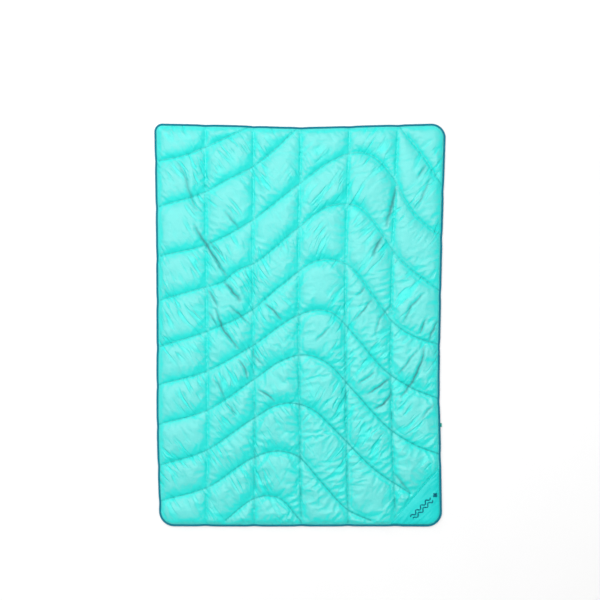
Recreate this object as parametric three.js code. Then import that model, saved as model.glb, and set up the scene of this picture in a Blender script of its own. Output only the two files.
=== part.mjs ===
// Puffy blanket: one filled, quilted solid laid out flat, its edge held in a folded binding tape,
// with a plain corner patch and a small folded side tab. Millimetres, +Z up. The blanket rests on
// Z = 0 with its face up, its long side along Y, and the origin under the middle of its box.
import * as THREE from 'three';

// Driving dimensions
const HALF_WIDTH = 458.5;
const HALF_LENGTH = 634.5;
const CORNER_RADIUS = { topLeft: 26, topRight: 45, bottomLeft: 48, bottomRight: 47 };

// The folded tape: its height, its wall, how far it reaches in over the face, and its round fold
const TAPE_HEIGHT = 5.6;
const TAPE_WALL = 1.0;
const TAPE_REACH = 6.3;
const TAPE_BEND = 1.5;
const GAP = 0.3;

// The quilt: heights of its bound rim, its seams and its crowns above the surface
const RIM_LOW = TAPE_WALL + GAP;
const RIM_HIGH = TAPE_HEIGHT - TAPE_WALL - GAP;
const SEAM_LOW = 5;
const SEAM_HIGH = 8;
const CROWN_HIGH = 22;
const QUILT_INSET = 2.4;
const RIM_INSET = TAPE_REACH + 0.6;

// How far from a seam, a vertical channel and the rim the filling reaches its full height
const WAVE_SWELL = 62;
const CHANNEL_SWELL = 70;
const RIM_SWELL = 60;

// The corner patch and the side tab
const PATCH_THICK = 1.2;
const PATCH_SWELL_HIGH = 5;
const TAB = { y: -315, width: 12, reach: 4, thick: 1.8, z: TAPE_HEIGHT / 2 };

// How much each edge draws in from the box: [place along the edge, drawn in]
const LEFT_DRAW = [[-566, 14], [-340, 7.5], [0, 6.5], [266, 5], [600, 0]];
const RIGHT_DRAW = [[-560, 12], [-376, 15], [-200, 18.5], [36, 15], [266, 10], [436, 5], [590, 0]];
const TOP_DRAW = [[-430, 0], [-220, 4.5], [0, 10.5], [230, 5], [430, 0]];
const BOTTOM_DRAW = [[-400, 1], [-150, 0], [200, 0.5], [390, 0]];

// The five vertical seams, left to right: [y, x]
const VERTICAL_SEAMS = [
  [[-622, -296], [-380, -291], [0, -293], [622, -298]],
  [[-622, -144], [-380, -142], [0, -148], [622, -146]],
  [[-622, 4], [-200, -3], [300, -4], [622, 4]],
  [[-622, 151], [-150, 143], [200, 144], [622, 156]],
  [[-616, 300], [-200, 286], [220, 291], [622, 308]],
];

// The wave seams, from the top right corner down: [x, y] of each one's ends, shoulders and crest
const WAVE_SEAMS = [
  [[315, 621], [394, 519], [448, 437]],
  [[-442, 517], [-370, 531], [-295, 560], [-165, 621]],
  [[-442, 373], [-295, 420], [-233, 454], [-148, 498], [-93, 539], [-8, 621]],
  [[-438, 218], [-295, 252], [-158, 324], [2, 447], [107, 520], [165, 541], [233, 527],
    [295, 460], [346, 368], [404, 307], [445, 283]],
  [[-438, 79], [-295, 120], [-240, 137], [-205, 166], [-145, 194], [2, 312], [76, 367],
    [134, 380], [193, 366], [250, 298], [312, 209], [346, 177], [438, 109]],
  [[-438, -66], [-295, -21], [-152, 47], [-56, 127], [50, 200], [107, 204], [161, 181],
    [230, 93], [291, 11], [373, -42], [435, -60]],
  [[-442, -187], [-295, -146], [-152, -67], [-5, 31], [50, 47], [105, 36], [175, -37],
    [261, -137], [346, -195], [438, -232]],
  [[-442, -312], [-288, -266], [-138, -166], [-63, -115], [15, -94], [85, -119], [175, -214],
    [276, -322], [366, -379], [438, -406]],
  [[-438, -440], [-295, -394], [-145, -293], [-73, -252], [-20, -246], [40, -266],
    [117, -337], [226, -447], [346, -529]],
  [[-438, -553], [-281, -505], [-148, -418], [-95, -399], [-50, -398], [-5, -414],
    [66, -493], [148, -579], [222, -614]],
  [[-233, -613], [-145, -546], [-100, -537], [-60, -548], [2, -616]],
];

// The patch's long edge, from the bottom binding up to the right one: [x, y]
const PATCH_SEAM = [[283, -627], [349, -548], [395, -496], [446, -440]];

// Where rows and columns stand between two seams, closer together beside the seams
const SPREAD = [0.1, 0.35, 0.65, 0.9];
const CORNER_COLUMNS = [QUILT_INSET, 4, RIM_INSET, 14, 25, 46];
const SIDE_SPREAD = [0.35, 0.65, 0.9];
const LEAST_CELL = 5;
const LONG_SPAN = 60;
const SHORT_SPAN = 20;
const CLOSING_STEPS = 12;

// A smooth line through hand-chosen points, as v(u); past its ends it runs on straight.
function smoothLine(points) {
  const last = points.length - 1;
  const slopes = [];
  for (let i = 0; i < last; i += 1) {
    slopes.push((points[i + 1][1] - points[i][1]) / (points[i + 1][0] - points[i][0]));
  }
  const tangents = points.map((point, i) => {
    if (i === 0) return slopes[0];
    if (i === last) return slopes[last - 1];
    const before = point[0] - points[i - 1][0];
    const after = points[i + 1][0] - point[0];
    return (slopes[i - 1] * after + slopes[i] * before) / (before + after);
  });
  const line = (u) => {
    if (u <= points[0][0]) return points[0][1] + tangents[0] * (u - points[0][0]);
    if (u >= points[last][0]) return points[last][1] + tangents[last] * (u - points[last][0]);
    let i = 0;
    while (u > points[i + 1][0]) i += 1;
    const span = points[i + 1][0] - points[i][0];
    const t = (u - points[i][0]) / span;
    const rise = t * t * (3 - 2 * t);
    const leave = t * (1 - t) * (1 - t) * span * tangents[i];
    const arrive = t * t * (1 - t) * span * tangents[i + 1];
    return points[i][1] * (1 - rise) + points[i + 1][1] * rise + leave - arrive;
  };
  line.from = points[0][0];
  line.to = points[last][0];
  return line;
}

const leftDraw = smoothLine(LEFT_DRAW);
const rightDraw = smoothLine(RIGHT_DRAW);
const topDraw = smoothLine(TOP_DRAW);
const bottomDraw = smoothLine(BOTTOM_DRAW);
const verticals = VERTICAL_SEAMS.map(smoothLine);
const waves = WAVE_SEAMS.map(smoothLine);
const patchSeam = smoothLine(PATCH_SEAM);

// The uneven outline, side by side, before its corners are rounded
const leftSide = (y) => -HALF_WIDTH + leftDraw(y);
const rightSide = (y) => HALF_WIDTH - rightDraw(y);
const bottomSide = (x) => -HALF_LENGTH + bottomDraw(x);
const topSide = (x) => HALF_LENGTH - topDraw(x);

// A corner's arc touches two sides. Its centre is found by a few steps of substitution.
function corner(radius, toRight, toTop) {
  let y = toTop ? HALF_LENGTH - radius : -HALF_LENGTH + radius;
  let x = 0;
  for (let step = 0; step < CLOSING_STEPS; step += 1) {
    x = toRight ? rightSide(y) - radius : leftSide(y) + radius;
    y = toTop ? topSide(x) - radius : bottomSide(x) + radius;
  }
  return { x, y, radius, toRight, toTop };
}
const CORNERS = {
  bottomLeft: corner(CORNER_RADIUS.bottomLeft, false, false),
  bottomRight: corner(CORNER_RADIUS.bottomRight, true, false),
  topRight: corner(CORNER_RADIUS.topRight, true, true),
  topLeft: corner(CORNER_RADIUS.topLeft, false, true),
};

// Each side runs straight on past the two corners at its ends.
const { bottomLeft, bottomRight, topRight, topLeft } = CORNERS;
const held = (value, low, high) => THREE.MathUtils.clamp(value, low, high);
const leftEdge = (y) => leftSide(held(y, bottomLeft.y, topLeft.y));
const rightEdge = (y) => rightSide(held(y, bottomRight.y, topRight.y));
const bottomEdge = (x) => bottomSide(held(x, bottomLeft.x, bottomRight.x));
const topEdge = (x) => topSide(held(x, topLeft.x, topRight.x));

// Where the outline, moved in by inset, crosses the line X = x at its bottom and its top;
// null where x is outside it.
function outlineEnd(x, inset, atTop) {
  const left = atTop ? topLeft : bottomLeft;
  const right = atTop ? topRight : bottomRight;
  const near = x < left.x ? left : (x > right.x ? right : null);
  if (near === null) return atTop ? topEdge(x) - inset : bottomEdge(x) + inset;
  const radius = near.radius - inset;
  const across = Math.abs(x - near.x);
  if (across > radius + 1e-6) return null;
  const along = Math.sqrt(Math.max(0, radius * radius - across * across));
  return atTop ? near.y + along : near.y - along;
}

// How far a point lies inside the outline
function insideBy(x, y) {
  for (const { x: cx, y: cy, radius, toRight, toTop } of Object.values(CORNERS)) {
    const beyondX = toRight ? x - cx : cx - x;
    const beyondY = toTop ? y - cy : cy - y;
    if (beyondX > 0 && beyondY > 0) return radius - Math.hypot(beyondX, beyondY);
  }
  return Math.min(x - leftEdge(y), rightEdge(y) - x, topEdge(x) - y, y - bottomEdge(x));
}

// Distance from (u, v) to a line v(u), to its ends where it stops
function awayFrom(line, u, v) {
  const nearU = THREE.MathUtils.clamp(u, line.from, line.to);
  const slope = line(nearU + 0.5) - line(nearU - 0.5);
  return Math.hypot(u - nearU, (v - line(nearU)) / Math.hypot(1, slope));
}

// A quarter-round swell: nothing at a seam, full at a reach from it
function swell(distance, reach) {
  const left = 1 - THREE.MathUtils.clamp(distance / reach, 0, 1);
  return Math.sqrt(1 - left * left);
}

const underPatch = (x, y) => x > patchSeam.from - 1 && y < patchSeam(x) - 1e-3;

// How full the quilt is at a point, from 0 at a seam to 1 at a crown
function fullness(x, y) {
  const fromRim = swell(insideBy(x, y) - RIM_INSET, RIM_SWELL);
  const fromPatch = awayFrom(patchSeam, x, y);
  if (underPatch(x, y)) return fromRim * swell(fromPatch, WAVE_SWELL);
  const fromWave = Math.min(fromPatch, ...waves.map((wave) => awayFrom(wave, x, y)));
  const fromVertical = Math.min(...verticals.map((seam) => awayFrom(seam, y, x)));
  return fromRim * swell(fromWave, WAVE_SWELL) * swell(fromVertical, CHANNEL_SWELL);
}

// The quilt's upper and lower surface. The lower one is flat on Z = 0 under each puff.
function quiltTop(x, y) {
  const rise = swell(insideBy(x, y) - RIM_INSET, RIM_SWELL / 2);
  const seamHigh = RIM_HIGH + (SEAM_HIGH - RIM_HIGH) * rise;
  const crown = underPatch(x, y) ? PATCH_SWELL_HIGH : CROWN_HIGH - SEAM_HIGH;
  return seamHigh + crown * fullness(x, y);
}

function quiltBottom(x, y) {
  const rise = swell(insideBy(x, y) - RIM_INSET, RIM_SWELL / 2);
  const seamLow = RIM_LOW + (SEAM_LOW - RIM_LOW) * rise;
  return seamLow * (1 - Math.min(1, 2 * fullness(x, y)));
}

// The columns that the quilt's surface is laid on, left to right: x(y), and how finely each is split
function quiltColumns() {
  const columns = [];
  const add = (x, split) => columns.push({ x, split });
  const between = (a, b, t) => (y) => a(y) + (b(y) - a(y)) * t;
  const lastCorner = CORNER_COLUMNS[CORNER_COLUMNS.length - 1];
  const leftStart = (y) => leftEdge(y) + lastCorner;
  const rightStart = (y) => rightEdge(y) - lastCorner;
  CORNER_COLUMNS.forEach((inset) => add((y) => leftEdge(y) + inset, inset > RIM_INSET));
  SIDE_SPREAD.forEach((t) => add(between(leftStart, verticals[0], t), true));
  verticals.forEach((seam, i) => {
    add(seam, true);
    if (i < verticals.length - 1) {
      SPREAD.forEach((t) => add(between(seam, verticals[i + 1], t), true));
    }
  });
  const lastSeam = verticals[verticals.length - 1];
  [...SIDE_SPREAD].reverse().forEach((t) => add(between(rightStart, lastSeam, t), true));
  [...CORNER_COLUMNS].reverse().forEach((inset) => {
    add((y) => rightEdge(y) - inset, inset > RIM_INSET);
  });
  return columns;
}

// Where a column meets a line y(x), found by a few steps of substitution
function crossing(columnX, lineY, startY) {
  let y = startY;
  for (let step = 0; step < CLOSING_STEPS; step += 1) {
    const next = lineY(columnX(y));
    if (next === null) return null;
    y = next;
  }
  return y;
}

// The named points where a column meets the rim, the inset line and each seam, bottom to top
function anchorsOf(columnX) {
  const end = (inset, atTop) => {
    const start = atTop ? HALF_LENGTH : -HALF_LENGTH;
    return crossing(columnX, (x) => outlineEnd(x, inset, atTop), start);
  };
  const bottom = end(QUILT_INSET, false);
  const top = end(QUILT_INSET, true);
  const insetBottom = end(RIM_INSET, false);
  const insetTop = end(RIM_INSET, true);
  const lowest = (insetBottom === null ? bottom : insetBottom) + LEAST_CELL;
  const highest = (insetTop === null ? top : insetTop) - LEAST_CELL;
  const anchors = [{ name: 'bottom', y: bottom }];
  if (insetBottom !== null) anchors.push({ name: 'insetBottom', y: insetBottom });
  const patchY = crossing(columnX, patchSeam, bottom);
  const patched = columnX(patchY) > patchSeam.from && patchY > lowest;
  if (patched) anchors.push({ name: 'patch', y: patchY });
  [...waves.keys()].reverse().forEach((k) => {
    const y = crossing(columnX, waves[k], 0);
    const above = patched ? patchY + LEAST_CELL : lowest;
    if (y > above && y < highest) anchors.push({ name: `wave${k}`, y });
  });
  if (insetTop !== null) anchors.push({ name: 'insetTop', y: insetTop });
  anchors.push({ name: 'top', y: top });
  return anchors;
}

// A column's points: its anchors, and between two seams the rows that SPREAD gives
function columnPoints(column) {
  const anchors = anchorsOf(column.x);
  const points = [];
  anchors.forEach((anchor, i) => {
    points.push({ x: column.x(anchor.y), y: anchor.y, name: anchor.name });
    const next = anchors[i + 1];
    const inRim = anchor.name === 'bottom' || !next || next.name === 'top';
    if (!column.split || inRim) return;
    const span = next.y - anchor.y;
    const steps = span > LONG_SPAN ? SPREAD : (span > SHORT_SPAN ? [0.5] : []);
    steps.forEach((t) => {
      const y = anchor.y + span * t;
      points.push({ x: column.x(y), y, name: null });
    });
  });
  return points;
}

// Triangles between two columns, stretch by stretch between the anchors that both have
function zipColumns(left, right, triangles) {
  const shared = left.filter((p) => p.name && right.some((q) => q.name === p.name));
  for (let s = 0; s < shared.length - 1; s += 1) {
    const stretch = (side) => side.slice(
      side.findIndex((p) => p.name === shared[s].name),
      side.findIndex((p) => p.name === shared[s + 1].name) + 1,
    );
    const a = stretch(left);
    const b = stretch(right);
    const part = (side, i) => (side[i].y - side[0].y) / (side[side.length - 1].y - side[0].y);
    let i = 0;
    let j = 0;
    while (i < a.length - 1 || j < b.length - 1) {
      const canA = i < a.length - 1;
      const stepA = canA && (j === b.length - 1 || part(a, i + 1) <= part(b, j + 1));
      if (stepA) {
        triangles.push([a[i], b[j], a[i + 1]]);
        i += 1;
      } else {
        triangles.push([a[i], b[j], b[j + 1]]);
        j += 1;
      }
    }
  }
}

// The whole quilt's plan: the triangles between its columns of points
function planTriangles() {
  const columns = quiltColumns().map(columnPoints);
  const triangles = [];
  for (let c = 0; c < columns.length - 1; c += 1) {
    zipColumns(columns[c], columns[c + 1], triangles);
  }
  return triangles;
}

// A closed geometry from triangles in plan, with an upper and a lower height for each point.
// Each edge that only one triangle has becomes a wall.
function slabFromPlan(triangles, upper, lower) {
  const index = new Map();
  const positions = [];
  const numberOf = (point) => {
    if (!index.has(point)) {
      index.set(point, index.size);
      positions.push(point.x, point.y, upper(point), point.x, point.y, lower(point));
    }
    return index.get(point);
  };
  const faces = [];
  const edges = new Map();
  triangles.forEach((triangle) => {
    const [a, b, c] = triangle.map(numberOf);
    faces.push(2 * a, 2 * b, 2 * c);
    faces.push(2 * a + 1, 2 * c + 1, 2 * b + 1);
    [[a, b], [b, c], [c, a]].forEach(([p, q]) => {
      if (edges.has(`${q},${p}`)) edges.delete(`${q},${p}`);
      else edges.set(`${p},${q}`, [p, q]);
    });
  });
  edges.forEach(([p, q]) => {
    faces.push(2 * p, 2 * p + 1, 2 * q + 1);
    faces.push(2 * p, 2 * q + 1, 2 * q);
  });
  const geometry = new THREE.BufferGeometry();
  geometry.setAttribute('position', new THREE.Float32BufferAttribute(positions, 3));
  geometry.setIndex(faces);
  geometry.computeVertexNormals();
  return geometry;
}

const plan = planTriangles();

function quiltGeometry() {
  return slabFromPlan(
    plan,
    (p) => quiltTop(p.x, p.y),
    (p) => quiltBottom(p.x, p.y),
  );
}

// The patch lies on the quilt's own facets under it, a gap above them, and stops at the tape.
function cornerPatchGeometry() {
  const onPatch = (p) => p.name === 'patch' || underPatch(p.x, p.y);
  const inTape = (p) => insideBy(p.x, p.y) < RIM_INSET - GAP / 2;
  const triangles = plan.filter((t) => t.every(onPatch) && !t.some(inTape));
  return slabFromPlan(
    triangles,
    (p) => quiltTop(p.x, p.y) + GAP + PATCH_THICK,
    (p) => quiltTop(p.x, p.y) + GAP,
  );
}

// Points along the outline moved in by inset, counter-clockwise from the bottom left corner
function outlineLoop(inset) {
  const loop = [];
  const SIDE_STEPS = 18;
  const END_STEPS = 12;
  const ARC_STEPS = 6;
  const run = (from, to, steps, place) => {
    for (let i = 1; i < steps; i += 1) loop.push(place(from + ((to - from) * i) / steps));
  };
  const turn = ({ x, y, radius }, startAngle) => {
    for (let i = 0; i <= ARC_STEPS; i += 1) {
      const angle = startAngle + (Math.PI / 2) * (i / ARC_STEPS);
      const reach = radius - inset;
      loop.push([x + reach * Math.cos(angle), y + reach * Math.sin(angle)]);
    }
  };
  turn(bottomLeft, Math.PI);
  run(bottomLeft.x, bottomRight.x, END_STEPS, (x) => [x, bottomEdge(x) + inset]);
  turn(bottomRight, -Math.PI / 2);
  run(bottomRight.y, topRight.y, SIDE_STEPS, (y) => [rightEdge(y) - inset, y]);
  turn(topRight, 0);
  run(topRight.x, topLeft.x, END_STEPS, (x) => [x, topEdge(x) - inset]);
  turn(topLeft, Math.PI / 2);
  run(topLeft.y, bottomLeft.y, SIDE_STEPS, (y) => [leftEdge(y) + inset, y]);
  return loop;
}

// The tape's section, folded round the quilt's edge: [distance in from the outline, height]
function tapeSection() {
  const web = TAPE_WALL + GAP;
  const high = TAPE_HEIGHT;
  return [
    [0, TAPE_BEND], [0, high - TAPE_BEND], [TAPE_WALL, high - GAP], [TAPE_BEND + TAPE_WALL, high],
    [TAPE_REACH, high], [TAPE_REACH, high - TAPE_WALL], [web, high - TAPE_WALL], [web, TAPE_WALL],
    [TAPE_REACH, TAPE_WALL], [TAPE_REACH, 0], [TAPE_WALL, 0],
  ];
}

function bindingGeometry() {
  const section = tapeSection();
  const loops = section.map(([inset]) => outlineLoop(inset));
  const stations = loops[0].length;
  const positions = [];
  section.forEach(([, z], s) => {
    loops[s].forEach(([x, y]) => positions.push(x, y, z));
  });
  const faces = [];
  for (let s = 0; s < section.length; s += 1) {
    const nextS = (s + 1) % section.length;
    for (let i = 0; i < stations; i += 1) {
      const nextI = (i + 1) % stations;
      const a = s * stations + i;
      const b = s * stations + nextI;
      const c = nextS * stations + nextI;
      const d = nextS * stations + i;
      faces.push(a, b, c, a, c, d);
    }
  }
  const geometry = new THREE.BufferGeometry();
  geometry.setAttribute('position', new THREE.Float32BufferAttribute(positions, 3));
  geometry.setIndex(faces);
  geometry.computeVertexNormals();
  return geometry;
}

// A small label folded in two, its fold outward: a flat strip with a round outer end
function sideTabGeometry() {
  const { width, reach, thick } = TAB;
  const outline = new THREE.Shape();
  outline.moveTo(0, -thick / 2);
  outline.lineTo(reach - thick / 2, -thick / 2);
  outline.absarc(reach - thick / 2, 0, thick / 2, -Math.PI / 2, Math.PI / 2, false);
  outline.lineTo(0, thick / 2);
  outline.closePath();
  const geometry = new THREE.ExtrudeGeometry(outline, {
    depth: width, bevelEnabled: false, curveSegments: 6,
  });
  geometry.translate(0, 0, -width / 2);
  geometry.rotateX(Math.PI / 2);
  return geometry;
}

function makeMesh(name, geometry, color, roughness) {
  const material = new THREE.MeshStandardMaterial({ color, roughness, metalness: 0 });
  const mesh = new THREE.Mesh(geometry, material);
  mesh.name = name;
  return mesh;
}

const blanket = new THREE.Group();
blanket.add(makeMesh('quilt', quiltGeometry(), 0x64f0e6, 0.42));
blanket.add(makeMesh('binding', bindingGeometry(), 0x1a86a5, 0.6));
blanket.add(makeMesh('corner_patch', cornerPatchGeometry(), 0x2edcd6, 0.42));

const sideTab = makeMesh('side_tab', sideTabGeometry(), 0x009f8c, 0.6);
sideTab.position.set(rightEdge(TAB.y) + GAP, TAB.y, TAB.z);
blanket.add(sideTab);

export default blanket;
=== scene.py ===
"""Puffy blanket: quilted shell, folded edge binding, corner patch, side tab, thread and stage."""
import math
import random

import bpy
import numpy as np
from bpy.props import FloatProperty, FloatVectorProperty, IntProperty, PointerProperty
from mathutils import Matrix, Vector, geometry, kdtree, noise


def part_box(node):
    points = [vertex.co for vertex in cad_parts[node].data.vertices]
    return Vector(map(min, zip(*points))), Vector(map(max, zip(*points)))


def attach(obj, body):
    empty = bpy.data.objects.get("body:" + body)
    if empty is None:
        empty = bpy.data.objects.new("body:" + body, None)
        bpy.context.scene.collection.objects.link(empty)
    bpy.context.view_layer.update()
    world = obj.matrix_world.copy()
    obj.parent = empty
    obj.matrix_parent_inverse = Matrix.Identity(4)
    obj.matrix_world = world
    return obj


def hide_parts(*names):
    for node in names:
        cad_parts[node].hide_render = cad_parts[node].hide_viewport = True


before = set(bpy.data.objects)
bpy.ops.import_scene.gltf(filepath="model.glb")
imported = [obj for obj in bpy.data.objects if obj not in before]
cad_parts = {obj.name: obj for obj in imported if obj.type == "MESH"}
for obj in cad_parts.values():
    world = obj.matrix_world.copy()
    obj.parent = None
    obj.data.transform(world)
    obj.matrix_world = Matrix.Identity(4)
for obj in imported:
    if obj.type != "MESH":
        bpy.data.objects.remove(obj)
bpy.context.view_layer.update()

bl_info = {
    "name": "Puffy Blanket",
    "version": (1, 0, 0),
    "blender": (4, 5, 0),
    "location": "View3D > Sidebar > Blanket",
    "description": "Builds a wave-quilted puffy blanket with its binding, patch, tab and thread",
    "category": "Add Mesh",
}

MM = 0.001

# ---------------------------------------------------------------- plan, in millimetres

HALF_WIDTH, HALF_LENGTH, TAPE_HEIGHT = (
    (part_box("binding")[1][0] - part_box("binding")[0][0]) / 2 / MM,
    (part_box("binding")[1][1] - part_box("binding")[0][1]) / 2 / MM,
    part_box("binding")[1][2] / MM,
)
CROWN_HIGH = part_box("quilt")[1][2] / MM
CROWN_UNEVEN = 2.2
CORNER_RADIUS = {"top_left": 26, "top_right": 45, "bottom_left": 48, "bottom_right": 47}

TAPE_WALL = 1.0
TAPE_REACH = 6.3
GAP = 0.3
RIM_LOW = TAPE_WALL + GAP
RIM_HIGH = TAPE_HEIGHT - TAPE_WALL - GAP
SEAM_LOW = 5.0
SEAM_HIGH = 8.0
QUILT_INSET = 2.4
RIM_INSET = TAPE_REACH + 0.6
PATCH_INSET = RIM_INSET + 0.4
PATCH_BACK = 1.0
WAVE_SWELL = 46.0
CHANNEL_SWELL = 50.0
RIM_SWELL = 44.0
PATCH_THICK = 1.2
PATCH_STEP = 2.6
PATCH_SWELL_HIGH = 5.0
PINCH_WIDTH = 17.0

# How much each edge draws in from the box: (place along the edge, drawn in)
LEFT_DRAW = [(-566, 14), (-340, 7.5), (0, 6.5), (266, 5), (600, 0)]
RIGHT_DRAW = [(-560, 12), (-376, 15), (-200, 18.5), (36, 15), (266, 10), (436, 5), (590, 0)]
TOP_DRAW = [(-430, 0), (-220, 4.5), (0, 10.5), (230, 5), (430, 0)]
BOTTOM_DRAW = [(-400, 1), (-150, 0), (200, 0.5), (390, 0)]

# The five vertical seams, left to right: (y, x)
VERTICAL_SEAMS = [
    [(-622, -296), (-380, -291), (0, -293), (622, -298)],
    [(-622, -144), (-380, -142), (0, -148), (622, -146)],
    [(-622, 4), (-200, -3), (300, -4), (622, 4)],
    [(-622, 151), (-150, 143), (200, 144), (622, 156)],
    [(-616, 300), (-200, 286), (220, 291), (622, 308)],
]

# The wave seams, from the top right corner down: (x, y) of ends, shoulders and crest
WAVE_SEAMS = [
    [(315, 621), (394, 519), (448, 437)],
    [(-442, 517), (-370, 531), (-295, 560), (-165, 621)],
    [(-442, 373), (-295, 420), (-233, 454), (-148, 498), (-93, 539), (-8, 621)],
    [(-438, 218), (-295, 252), (-158, 324), (2, 447), (107, 520), (165, 541), (233, 527),
     (295, 460), (346, 368), (404, 307), (445, 283)],
    [(-438, 79), (-295, 120), (-240, 137), (-205, 166), (-145, 194), (2, 312), (76, 367),
     (134, 380), (193, 366), (250, 298), (312, 209), (346, 177), (438, 109)],
    [(-438, -66), (-295, -21), (-152, 47), (-56, 127), (50, 200), (107, 204), (161, 181),
     (230, 93), (291, 11), (373, -42), (435, -60)],
    [(-442, -187), (-295, -146), (-152, -67), (-5, 31), (50, 47), (105, 36), (175, -37),
     (261, -137), (346, -195), (438, -232)],
    [(-442, -312), (-288, -266), (-138, -166), (-63, -115), (15, -94), (85, -119),
     (175, -214), (276, -322), (366, -379), (438, -406)],
    [(-438, -440), (-295, -394), (-145, -293), (-73, -252), (-20, -246), (40, -266),
     (117, -337), (226, -447), (346, -529)],
    [(-438, -553), (-281, -505), (-148, -418), (-95, -399), (-50, -398), (-5, -414),
     (66, -493), (148, -579), (222, -614)],
    [(-233, -613), (-145, -546), (-100, -537), (-60, -548), (2, -616)],
]

# The patch's long edge, from the bottom binding up to the right one: (x, y)
PATCH_SEAM = [(283, -627), (349, -548), (395, -496), (446, -440)]


def smooth_line(points):
    """A smooth v(u) through given points; past its ends it runs on straight."""
    u, v = (np.array(column, float) for column in zip(*points))
    slopes = np.diff(v) / np.diff(u)
    before, after = np.diff(u)[:-1], np.diff(u)[1:]
    inner = (slopes[:-1] * after + slopes[1:] * before) / (before + after)
    tangents = np.concatenate(([slopes[0]], inner, [slopes[-1]]))

    def line(at):
        at = np.asarray(at, float)
        held = np.clip(at, u[0], u[-1])
        i = np.clip(np.searchsorted(u, held, side="right") - 1, 0, len(u) - 2)
        span = u[i + 1] - u[i]
        t = (held - u[i]) / span
        rise = t * t * (3 - 2 * t)
        leave = t * (1 - t) ** 2 * span * tangents[i]
        arrive = t * t * (1 - t) * span * tangents[i + 1]
        value = v[i] * (1 - rise) + v[i + 1] * rise + leave - arrive
        return value + (at - held) * np.where(at < u[0], tangents[0], tangents[-1])

    line.ends = (u[0], u[-1])
    return line


LEFT, RIGHT, TOP, BOTTOM = (
    smooth_line(draw) for draw in (LEFT_DRAW, RIGHT_DRAW, TOP_DRAW, BOTTOM_DRAW)
)
VERTICALS = [smooth_line(seam) for seam in VERTICAL_SEAMS]
WAVES = [smooth_line(seam) for seam in WAVE_SEAMS]
PATCH_LINE = smooth_line(PATCH_SEAM)


def noise_over(u, v, layer):
    """Smooth noise, about -1 to 1, at each of many places in one of its layers."""
    return np.array([noise.noise(Vector((at_u, at_v, layer))) for at_u, at_v in zip(u, v)])


def pinch(at, places, deep):
    """How far an edge is drawn in beside the ends of the seams that meet it."""
    at = np.asarray(at, float)
    return sum(deep * np.exp(-(((at - place) / PINCH_WIDTH) ** 2)) for place in places)


class Outline:
    """The blanket's uneven outline: four drawn-in sides and four round corners."""

    def __init__(self, pinch_deep):
        self.deep = pinch_deep
        self.ends = {
            "left": [float(wave(-HALF_WIDTH)) for wave in WAVES[1:10]],
            "right": [float(WAVES[i](HALF_WIDTH)) for i in (0, 3, 4, 5, 6, 7)],
            "top": [float(seam(HALF_LENGTH)) for seam in VERTICALS],
            "bottom": [float(seam(-HALF_LENGTH)) for seam in VERTICALS],
        }
        self.corners = {
            name: self.corner(radius, "right" in name, "top" in name)
            for name, radius in CORNER_RADIUS.items()
        }

    def side(self, name, at):
        draw = {"left": LEFT, "right": RIGHT, "top": TOP, "bottom": BOTTOM}[name](at)
        drawn = draw + pinch(at, self.ends[name], self.deep)
        far = HALF_WIDTH if name in ("left", "right") else HALF_LENGTH
        return drawn - far if name in ("left", "bottom") else far - drawn

    def corner(self, radius, to_right, to_top):
        y = HALF_LENGTH - radius if to_top else radius - HALF_LENGTH
        for _ in range(8):
            x = self.side("right" if to_right else "left", y)
            x += -radius if to_right else radius
            y = self.side("top" if to_top else "bottom", x)
            y += -radius if to_top else radius
        return float(x), float(y), radius, 1 if to_right else -1, 1 if to_top else -1

    def edge(self, name, at):
        """A side's place, held straight past the corners at its two ends."""
        first, last, axis = {
            "left": ("bottom_left", "top_left", 1),
            "right": ("bottom_right", "top_right", 1),
            "top": ("top_left", "top_right", 0),
            "bottom": ("bottom_left", "bottom_right", 0),
        }[name]
        return self.side(name, np.clip(at, self.corners[first][axis], self.corners[last][axis]))

    def inside_by(self, x, y):
        """How far points lie inside the outline."""
        inside = np.minimum.reduce([
            x - self.edge("left", y), self.edge("right", y) - x,
            self.edge("top", x) - y, y - self.edge("bottom", x),
        ])
        for corner_x, corner_y, radius, to_right, to_top in self.corners.values():
            beyond_x = (x - corner_x) * to_right
            beyond_y = (y - corner_y) * to_top
            arc = radius - np.hypot(beyond_x, beyond_y)
            inside = np.where((beyond_x > 0) & (beyond_y > 0), arc, inside)
        return inside

    def loop(self, inset, step):
        """Points round the outline moved in by inset, counter-clockwise from the bottom left."""
        points = []
        order = ("bottom_left", "bottom_right", "top_right", "top_left")
        sides = ("bottom", "right", "top", "left")
        for turn, (name, side) in enumerate(zip(order, sides)):
            x, y, radius, _, _ = self.corners[name]
            reach = radius - inset
            arc_steps = max(6, round(radius * math.pi / 2 / step))
            for i in range(arc_steps + 1):
                angle = math.pi + math.pi / 2 * (turn + i / arc_steps)
                points.append((x + reach * math.cos(angle), y + reach * math.sin(angle)))
            after = self.corners[order[(turn + 1) % 4]]
            along = 0 if side in ("bottom", "top") else 1
            start, end = (x, y)[along], after[along]
            steps = round(abs(end - start) / step)
            at = start + (end - start) * np.arange(1, steps) / steps
            inward = inset if side in ("bottom", "left") else -inset
            place = self.edge(side, at) + inward
            points += list(zip(at, place) if along == 0 else zip(place, at))
        return np.array(points)


def even_route(line, upright, step):
    """Points every step along a seam, with their tangents."""
    start, end = line.ends
    u = np.linspace(start, end, max(8, int((end - start) / 2)))
    v = line(u)
    length = np.concatenate(([0], np.cumsum(np.hypot(np.diff(u), np.diff(v)))))
    count = max(2, round(length[-1] / step))
    at = np.interp(np.linspace(0, length[-1], count + 1), length, u)
    points = np.column_stack((line(at), at) if upright else (at, line(at)))
    tangents = np.gradient(points, axis=0)
    tangents /= np.linalg.norm(tangents, axis=1)[:, None]
    return points, tangents


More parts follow.
